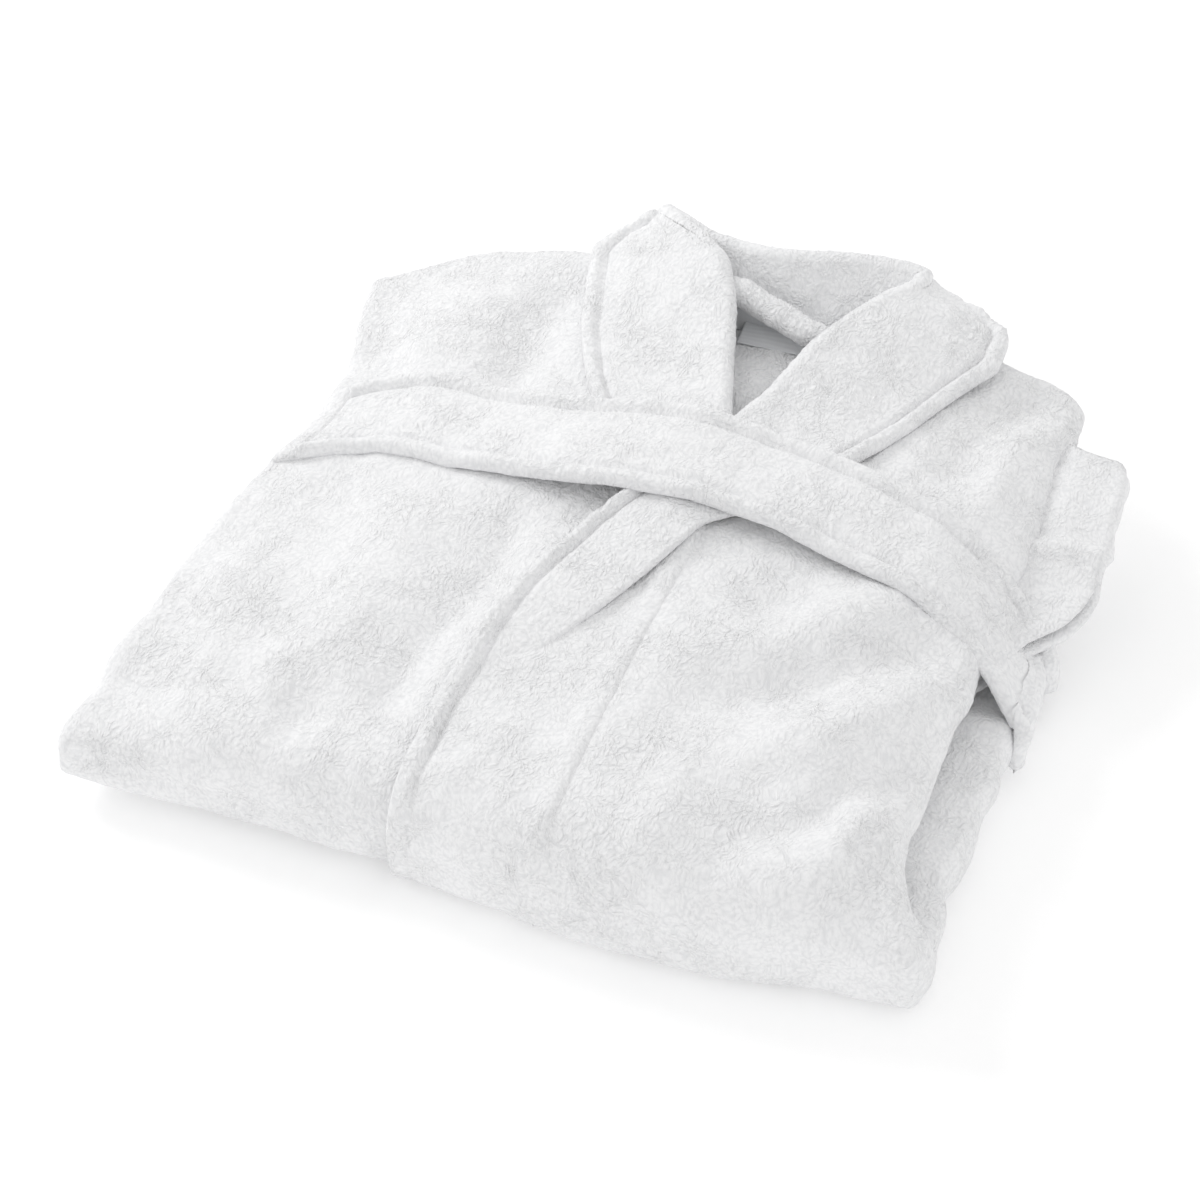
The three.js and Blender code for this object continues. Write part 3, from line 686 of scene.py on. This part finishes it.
def makeCollar(name, stations, flip, seed, nodes):
    step = fine
    rows = stripRows(stations, step)
    seam, roll, edge = rows[:, 0], rows[:, 1], rows[:, 2]
    along = np.gradient(roll, axis=0)
    along /= np.linalg.norm(along, axis=1, keepdims=True)
    out = roll - (seam + edge) / 2
    out -= along * np.einsum("ij,ij->i", out, along)[:, None]
    out /= np.linalg.norm(out, axis=1, keepdims=True)
    apart = np.cross(out, along)
    facing = np.sign(np.einsum("ij,ij->i", apart, edge - seam))
    apart *= facing[:, None]
    apart = smooth(apart, 10 / step)
    apart /= np.linalg.norm(apart, axis=1, keepdims=True)
    turn = collar["turn"] * (1 - 0.6 * ramp(-roll[:, 1], 60, 126))
    angles = np.linspace(-math.pi / 2, math.pi / 2, 11)
    arc = [roll + turn[:, None] * (math.cos(t) * out + math.sin(t) * apart) for t in angles]
    lower = 20
    upper = 66
    columns = [seam + (arc[0] - seam) * f for f in np.linspace(0, 1, lower + 1)[:-1]]
    columns += arc
    for f in np.linspace(0, 1, upper + 1)[1:]:
        sag = math.sin(math.pi * f)
        puff = collar["puff"] * sag * ramp(edge[:, 2], 68, 76)
        columns.append(arc[-1] + (edge - arc[-1]) * f + apart * puff[:, None])
    p = np.stack(columns, 1)
    fromSeam = across(p)
    fromEdge = fromSeam[:, -1:] - fromSeam
    upperLeaf = np.arange(p.shape[1])[None, :] > lower + 8
    fromRoll = fromSeam - fromSeam[:, lower + 5 : lower + 6]
    below = ramp(-p[..., 1], -56, -30)
    edgeRim = rimDetail(p, fromEdge) * (1 - below)
    rollRim = rimDetail(p, np.maximum(fromRoll + 1, 0)) * below
    detail = np.where(upperLeaf, edgeRim + rollRim, 0)
    detail = detail + softLeaf(p, seed, 1.1) * ramp(fromEdge, 12, 30) * upperLeaf
    p = soften(p, 0.4)
    made = makeCloth(name, p, collar["thickness"], collarTerry, flip=flip, detail=detail)
    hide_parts(*nodes)
    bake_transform(made)
    declareSheet(made, p, "folded", "front_left", "front_right")


makeCollar("lapelLeft", leftCollar,
           False, 31, ["collar_left", "collar_left_fall"])
makeCollar("lapelRight", rightCollar,
           True, 41, ["collar_right", "collar_right_fall"])
print("collar done")


def bandGrid(level, edgeLine, seamX, fromY, step):
    # a front band from under the belt, down over the bottom fold and on inside the roll
    v0 = pack["shoulders"] - fromY
    v = samples([v0, topRun, topRun + foldRun, topRun + foldRun + underRun, fullRun - innerRun, fullRun],
                [step, step, medium, medium, wide], 1)
    y, z = alongRoll(v, np.full(len(v), pack["cloth"] / 2 + level * pack["pitch"]))
    onTop = v <= topRun
    ys = np.array([point[1] for point in edgeLine])
    xs = np.array([point[0] for point in edgeLine])
    order = np.argsort(ys)
    edge = np.interp(np.where(onTop, y, foldY), ys[order], xs[order])
    edge = smooth(edge, 8 / step)
    u = np.linspace(0, 1, int(bandLook["width"] / step) + 1)
    x = edge[:, None] + (seamX - edge[:, None]) * u[None, :]
    return np.stack([x, np.broadcast_to(y[:, None], x.shape), np.broadcast_to(z[:, None], x.shape)], -1)


bandLook = {
    "seam": 48.6,  # where the band meets the left front, along X
    "width": 78.0,
    "lift": 0.9,  # how far it stands over the front
    "from": 60.0,
    # its free edge from under the belt to the bottom fold
    "edge": [(18, 60), (16, 34), (2, 0), (-8, -33), (-21, -80), (-29, -104), (-33, -120), (-34.5, -137),
             (-32, -171)],
}
band = bandGrid(0, bandLook["edge"], bandLook["seam"], bandLook["from"], fine)
fromFree = across(band)
rimOn = ramp(-band[..., 1], 84, 112) * (band[..., 2] > 20) + (band[..., 2] <= 20)
rimOn = rimOn * (1 - 0.65 * ramp(-band[..., 1], 165, 200))
bandDetail = rimDetail(band, fromFree) * rimOn
seamSide = fromFree[:, -1:] - fromFree
bandDetail = bandDetail + 1.3 * bell(seamSide, 7, 6) - 0.9 * bell(seamSide, 0.5, 1.6)
pleatX = 0.42 * (band[..., 1] + 150) + 8
pleat = 1.8 * bell(band[..., 0], pleatX, 9) * ramp(-band[..., 1], 130, 150)
bandDetail = bandDetail + pleat * (1 - ramp(-band[..., 1], 170, 200))
band[..., 2] += bandLook["lift"]
piece = makeCloth("bandLeft", soften(band), pack["cloth"], collarTerry, detail=bandDetail)
dress(piece, "robe", "terry_collar", "front_band_left")
declareSheet(piece, band, "folded", "front_band_right")

# the other front's band lies hidden under this one
underLook = {
    "edge": [(86, 70), (86, -171)],
    "seam": 10.4,
    "from": 70,
    "thinner": 0.6,
}
under = bandGrid(1, underLook["edge"], underLook["seam"], underLook["from"], medium)
piece = makeCloth("bandRight", soften(under), pack["cloth"] - underLook["thinner"], collarTerry,
                  pileStrength=0.4, flip=True)
dress(piece, "robe", "terry_collar", "front_band_right")
declareSheet(piece, under, "folded", "back_panel")


# sleeves and cuffs, laid between the turned-back sides and the skirt
def tubeRing(x0, x1, z, tall, count):
    # a flattened tube's outline in (x, z), round at both sides
    radiusNow = tall / 2
    flat = (x1 - x0) - tall
    length = 2 * flat + 2 * math.pi * radiusNow
    ring = []
    for s in np.linspace(0, length, count, endpoint=False):
        if s < flat:
            ring.append((x0 + radiusNow + s, z - radiusNow))
        elif s < flat + math.pi * radiusNow:
            a = (s - flat) / radiusNow - math.pi / 2
            ring.append((x1 - radiusNow + radiusNow * math.cos(a), z + radiusNow * math.sin(a)))
        elif s < 2 * flat + math.pi * radiusNow:
            ring.append((x1 - radiusNow - (s - flat - math.pi * radiusNow), z + radiusNow))
        else:
            a = (s - 2 * flat - math.pi * radiusNow) / radiusNow + math.pi / 2
            ring.append((x0 + radiusNow + radiusNow * math.cos(a), z + radiusNow * math.sin(a)))
    return np.array(ring)


sleeve = {
    "thickness": 7.6,
    "height": 44.0,  # of its middle in the pack
    "hiddenReach": 188.0,  # how far out it may lie below the belt
    "shownBeyond": 11.0,  # how far it stands out past its drawn edge above the belt
    "puff": 14.0,
}


def makeSleeve(name, x0, x1, yNear, yFar, material, node, slot):
    # one closed flat tube, its open ends turned in a little
    ring = tubeRing(x0, x1, sleeve["height"], sleeve["thickness"], 150)
    ys = np.linspace(yFar, yNear, int((yFar - yNear) / 3.5) + 1)
    p = np.zeros((len(ys), len(ring) + 1, 3))
    closedRing = np.vstack([ring, ring[:1]])
    for i, y in enumerate(ys):
        p[i, :, 0] = closedRing[:, 0]
        p[i, :, 1] = y + 2.0 * np.sin(closedRing[:, 0] / 40)
        p[i, :, 2] = settle(y, closedRing[:, 1])
    middle = (x0 + x1) / 2
    # the sleeve shows past the side only behind the belt, and lies hidden under the turned-back side below it
    side = np.sign(middle)
    reach = abs(x1 if side > 0 else x0)
    shown = reach + sleeve["shownBeyond"] - sleeve["hiddenReach"]
    limit = (sleeve["hiddenReach"] + shown * ramp(ys, -32, 70) * (side > 0))[:, None]
    beyond = (p[..., 0] - middle) * side > 0
    narrowed = middle + (p[..., 0] - middle) * (limit - abs(middle)) / (reach - abs(middle))
    p[..., 0] = np.where(beyond, narrowed, p[..., 0])
    puffed = ramp(ys, 70, 115)[:, None] * ramp(p[..., 0], 170, 212)
    p[..., 2] += (sleeve["puff"] + (p[..., 2] - sleeve["height"]) * 1.3) * puffed
    endRound = 7 * ramp(ys, yFar - 22, yFar)[:, None] ** 2
    p[..., 0] += (middle - p[..., 0]) * endRound / 90
    p = soften(p)
    n = gridNormals(p)
    p += n * (pile(p, 0.8) * np.sign(n[..., 2:3].mean() + 1e-9))[..., None] * 0.6
    p[:, -1] = p[:, 0]
    rows, columns = p.shape[0], p.shape[1] - 1
    outer = p[:, :-1]
    centre = outer.copy()
    centre[..., 2] = (outer[..., 2].max(1, keepdims=True) + outer[..., 2].min(1, keepdims=True)) / 2
    inner = outer + (centre - outer) * 0.7
    inner[..., 0] += (middle - inner[..., 0]) * 0.03
    vertices = np.vstack([outer.reshape(-1, 3), inner.reshape(-1, 3)])
    faces = []
    half = rows * columns
    for i in range(rows - 1):
        for j in range(columns):
            k = (j + 1) % columns
            a, b = i * columns + j, (i + 1) * columns + j
            c, d = (i + 1) * columns + k, i * columns + k
            faces.append((a, b, c, d))
            faces.append((half + d, half + c, half + b, half + a))
    for j in range(columns):
        k = (j + 1) % columns
        faces.append((j, k, half + k, half + j))
        last = (rows - 1) * columns
        faces.append((last + k, last + j, half + last + j, half + last + k))
    made = addPiece(name, vertices, faces, material)
    dress(made, "robe", slot, node)
    declareSheet(made, p, "folded", "back_panel")


for side in ("left", "right"):
    for kind, material, slot, clear in (("sleeve", bodyTerry, "terry_body", 0.4),
                                        ("cuff", collarTerry, "terry_collar", 0.2)):
        node = f"{kind}_{side}"
        low, high = drawnBox(node)
        makeSleeve(f"{kind}{side.title()}", low[0] + clear, high[0] - clear, low[1], high[1],
                   material, node, slot)
print("sleeves done")


# pockets and belt loops, underneath and inside
patchLook = {
    "pocketInset": 0.6,
    "loopInset": 0.3,
    "thinner": 0.5,
    "hemWidth": 14,  # depth of the stitched top hem
}


def makePatch(name, node, slot, material, insetBy):
    low, high = drawnBox(node)
    xs = np.linspace(low[0] + insetBy, high[0] - insetBy, 50)
    ys = np.linspace(low[1] + insetBy, high[1] - insetBy, 54)
    x, y = np.meshgrid(xs, ys)
    z = np.full(x.shape, (low[2] + high[2]) / 2)
    p = np.stack([x, y, z], -1)
    d = edgeDistance(p)
    hem = 0.5 * bell(high[1] - y, patchLook["hemWidth"], 2) + 0.4 * bell(d, 4, 1.3)
    thickness = high[2] - low[2] - patchLook["thinner"]
    made = makeCloth(name, p, thickness, material, pileStrength=0.35, detail=-hem)
    dress(made, "robe", slot, node)
    declareSheet(made, p, "laid", "back_panel")


for side in ("left", "right"):
    makePatch(f"pocket{side.title()}", f"pocket_{side}", "terry_body", bodyTerry, patchLook["pocketInset"])
    makePatch(f"beltLoop{side.title()}", f"belt_loop_{side}", "terry_belt", beltTerry, patchLook["loopInset"])


# inside the back neck
neckLook = {
    "tapeThickness": 1.2,
    "tapeForward": 1.5,
    "labelThickness": 0.7,
    "labelSlant": 0.6,
    "labelTop": 1.0,  # how far it stands over its drawn height
    "labelFoot": 3,
}
low, high = drawnBox("neck_tape")
xs = np.linspace(low[0], high[0], 60)
zs = np.linspace(low[2], high[2], 12)
x, z = np.meshgrid(xs, zs)
y = np.full(x.shape, (low[1] + high[1]) / 2) - neckLook["tapeForward"]
p = np.stack([x, y, z], -1)
piece = makeCloth("neckTape", soften(p, 0), neckLook["tapeThickness"], tapeCotton, pileStrength=0)
dress(piece, "robe", "cotton_tape", "neck_tape")
declareSheet(piece, p, "laid", "back_panel")

low, high = drawnBox("neck_label")
xs = np.linspace(low[0], high[0], 40)
t = np.linspace(0, 1, 24)
x, s = np.meshgrid(xs, t)
y = high[1] - neckLook["labelSlant"] * (high[1] - low[1]) * s
z = high[2] + neckLook["labelTop"] - (high[2] - low[2] - neckLook["labelFoot"]) * s
p = np.stack([x, y, z], -1)
piece = makeCloth("neckLabel", soften(p, 0), neckLook["labelThickness"], labelSatin, pileStrength=0)
dress(piece, "robe", "satin_label", "neck_label")
declareSheet(piece, p, "laid", "back_panel")


hanger = {
    "radius": 7.8,
    "steps": 150,
    "ring": 40,
    # sewn in under the collar at both ends, one end higher than the other
    "route": [(-2, 201, 78), (2, 198, 85.5), (14, 195, 86), (30, 191, 83), (46, 187, 79.5), (60, 185, 76.5),
              (66, 189, 75), (66, 198, 73)],
}


def makeHanger():
    # a padded loop of terry, both ends sewn in
    steps, ring = hanger["steps"], hanger["ring"]
    route = np.array(hanger["route"], float)
    at = np.concatenate([[0], np.cumsum(np.linalg.norm(np.diff(route, axis=0), axis=1))])
    s = np.linspace(0, at[-1], steps)
    middles = smooth(np.stack([np.interp(s, at, route[:, k]) for k in range(3)], 1), 6)
    ahead = np.gradient(middles, axis=0)
    ahead /= np.linalg.norm(ahead, axis=1, keepdims=True)
    across = np.cross(ahead, [0, 0, 1.0])
    across /= np.linalg.norm(across, axis=1, keepdims=True)
    rise = np.cross(across, ahead)
    b = np.linspace(0, 2 * math.pi, ring + 1)[None, :, None]
    p = middles[:, None] + hanger["radius"] * (across[:, None] * np.cos(b) + rise[:, None] * np.sin(b))
    p = soften(p, 0)
    n = gridNormals(p)
    p += n * (pile(p * 1.3, 1.6) * 1.3)[..., None]
    outer = p[:, :-1]
    faces = []
    for i in range(steps - 1):
        for j in range(ring):
            k = (j + 1) % ring
            faces.append((i * ring + j, i * ring + k, (i + 1) * ring + k, (i + 1) * ring + j))
    faces.append(tuple(range(ring))[::-1])
    faces.append(tuple((steps - 1) * ring + j for j in range(ring)))
    made = addPiece("hangerLoop", outer.reshape(-1, 3), faces, collarTerry)
    dress(made, "hanger", "terry_collar", "hanger_loop")


makeHanger()

# belt
beltLook = {
    "width": 69.0,
    "thickness": 5.6,
    "tailThinner": 0.3,
    "rim": 10.0,
    "rimRise": 2.7,
    "groove": 1.9,
    "drop": -199.6,  # where it turns down the wearer's right side
    "shownRun": 140,  # length of the tail that is made finer
}
beltLow, beltHigh = drawnBox("belt_front")
beltMiddle = (beltLow[1] + beltHigh[1]) / 2


def smoothPath(points, step, rounding):
    points = np.array(points, float)
    at = np.concatenate([[0], np.cumsum(np.linalg.norm(np.diff(points, axis=0), axis=1))])
    s = np.linspace(0, at[-1], int(at[-1] / step) + 1)
    dense = np.stack([np.interp(s, at, points[:, k]) for k in range(points.shape[1])], 1)
    return smooth(dense, rounding / step)


def strapGrid(path, step, width, middleY):
    u = np.linspace(-width / 2, width / 2, int(width / step) + 1)
    p = np.zeros((len(path), len(u), 3))
    p[..., 0] = path[:, :1]
    p[..., 2] = path[:, 1:2]
    p[..., 1] = middleY + u[None, :]
    return p, u


def strapDetail(p, u):
    d = beltLook["width"] / 2 - np.abs(u)[None, :]
    half = beltLook["rim"] / 2
    rim = beltLook["rimRise"] * np.sqrt(np.clip(1 - ((d - half) / half) ** 2, 0, 1))
    groove = beltLook["groove"] * bell(d, beltLook["rim"] + 0.8, 2.2)
    middle = 0.5 * bell(d, beltLook["width"] / 2, 20)
    return rim - groove + middle + 0.5 * noise(p, 30, 51)


# how far the belt swings from straight across, by its place along X
beltCourse = [(-206, -14), (-186, -9), (-168, 0), (-147, 6), (-124, 6), (-93, 3), (-29, -2), (40, -2),
              (80, -4), (119, -10), (152, -16), (187, -25), (208, -38), (226, -50)]


def beltSwing(p):
    xs, ys = np.array(beltCourse, float).T
    swing = np.interp(p[..., 0], xs, ys)
    return swing - 6 * ramp(50 - p[..., 2], 0, 45) * (p[..., 0] > 200)


# over the top from the wearer's right side to the left, and down it
frontPath = smoothPath([(-186, 67.4), (-150, 67.2), (-100, 67.6), (-50, 71), (-8, 79.6), (30, 81.6),
                        (70, 80.2), (106, 76.4), (140, 72.0), (172, 69.4), (190, 66.5), (204, 60),
                        (214, 50), (219, 40), (223, 26), (225, 7)], 1.0, 7)
strap, u = strapGrid(frontPath, fine, beltLook["width"], beltMiddle)
keep = samples([0, len(strap) - 1], [fine]).astype(int)
strap = strap[keep]
detail = strapDetail(strap, u)
strap[..., 1] += beltSwing(strap)
strap = soften(strap, 0.7)
piece = makeCloth("beltFront", strap, beltLook["thickness"], beltTerry, detail=detail)
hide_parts("belt_front")
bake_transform(piece)
declareSheet(piece, strap, "laid", "front_right", "collar_left")

# down the right side and to and fro under the pack
drop = beltLook["drop"]
tail = [(-184, 67.4), (-192, 66.6), (-196.5, 63.5), (drop, 57), (drop - 0.4, 40), (drop, 12), (drop + 4, 5),
        (-187, 2.7), (0, 2.7), (190, 2.7), (194.5, 5.6), (190, 8.4), (0, 8.4), (-182, 8.4), (-186.5, 11.2),
        (-182, 14.0), (0, 14.0), (190, 14.0)]
tailPath = smoothPath(tail, 1.0, 1.6)
strap, u = strapGrid(tailPath, 2.4, beltLook["width"], beltMiddle)
keep = samples([0, beltLook["shownRun"], len(strap) - 1], [2.2, 4.0]).astype(int)
strap = strap[keep]
detail = strapDetail(strap, u) * 0.5 * ramp(strap[..., 2], 18, 40)
strap[..., 1] += beltSwing(strap) * ramp(strap[..., 2], 14, 40)
warped = soften(strap, 0.7)
mix = ramp(strap[..., 2], 14, 40)[..., None]
strap = strap + (warped - strap) * mix
thickness = beltLook["thickness"] - beltLook["tailThinner"]
piece = makeCloth("beltTail", strap, thickness, beltTerry, detail=detail, pileStrength=0.6)
dress(piece, "robe", "terry_belt", "belt_tail")
declareSheet(piece, strap, "folded", "front_left")
print("belt done")

# camera, light and floor
view = {
    "azimuth": 20.298,
    "elevation": 40.0,
    "distance": 1.678,
    "focal": 100.0,
    "sensor": 36.0,
    "target": (3.86, -12.26, 40.0),
}
lighting = {
    "place": (-1.7, 0.6, 1.25),
    "size": 0.9,
    "power": 13,
    "around": 0.84,  # strength of the white surroundings
    "floorReach": 6.0,
    "floorGlow": 0.2,
}


def addCamera():
    a, e = math.radians(view["azimuth"]), math.radians(view["elevation"])
    back = Vector((math.sin(a) * math.cos(e), -math.cos(a) * math.cos(e), math.sin(e)))
    data = bpy.data.cameras.new("camera")
    data.lens = view["focal"]
    data.sensor_width = view["sensor"]
    camera = bpy.data.objects.new("camera", data)
    camera.location = Vector(inFrame(view["target"])) + back * view["distance"]
    camera.rotation_euler = back.to_track_quat("Z", "Y").to_euler()
    bpy.context.scene.collection.objects.link(camera)
    bpy.context.scene.camera = camera


def addLight(name, place, size, power):
    data = bpy.data.lights.new(name, "AREA")
    data.shape = "DISK"
    data.size = size
    data.energy = power
    light = bpy.data.objects.new(name, data)
    light.location = place
    light.rotation_euler = Vector(place).to_track_quat("Z", "Y").to_euler()
    bpy.context.scene.collection.objects.link(light)


def addFloor():
    reach = lighting["floorReach"]
    mesh = bpy.data.meshes.new("floor")
    corners = [(-reach, -reach, 0), (reach, -reach, 0), (reach, reach, 0), (-reach, reach, 0)]
    mesh.from_pydata(corners, [], [(0, 1, 2, 3)])
    material, shader, place = newMaterial("paleFloor")
    shader.inputs["Base Color"].default_value = (0.93, 0.93, 0.93, 1)
    shader.inputs["Roughness"].default_value = 0.9
    shader.inputs["Specular IOR Level"].default_value = 0.1
    shader.inputs["Emission Color"].default_value = (1, 1, 1, 1)
    shader.inputs["Emission Strength"].default_value = lighting["floorGlow"]
    mesh.materials.append(material)
    floor = bpy.data.objects.new("floor", mesh)
    bpy.context.scene.collection.objects.link(floor)


addCamera()
addFloor()
addLight("key", lighting["place"], lighting["size"], lighting["power"])
world = bpy.data.worlds.new("studio")
bpy.context.scene.world = world
world.use_nodes = True
background = world.node_tree.nodes["Background"]
background.inputs["Color"].default_value = (1, 1, 1, 1)
background.inputs["Strength"].default_value = lighting["around"]
bpy.context.scene.view_settings.view_transform = "Standard"
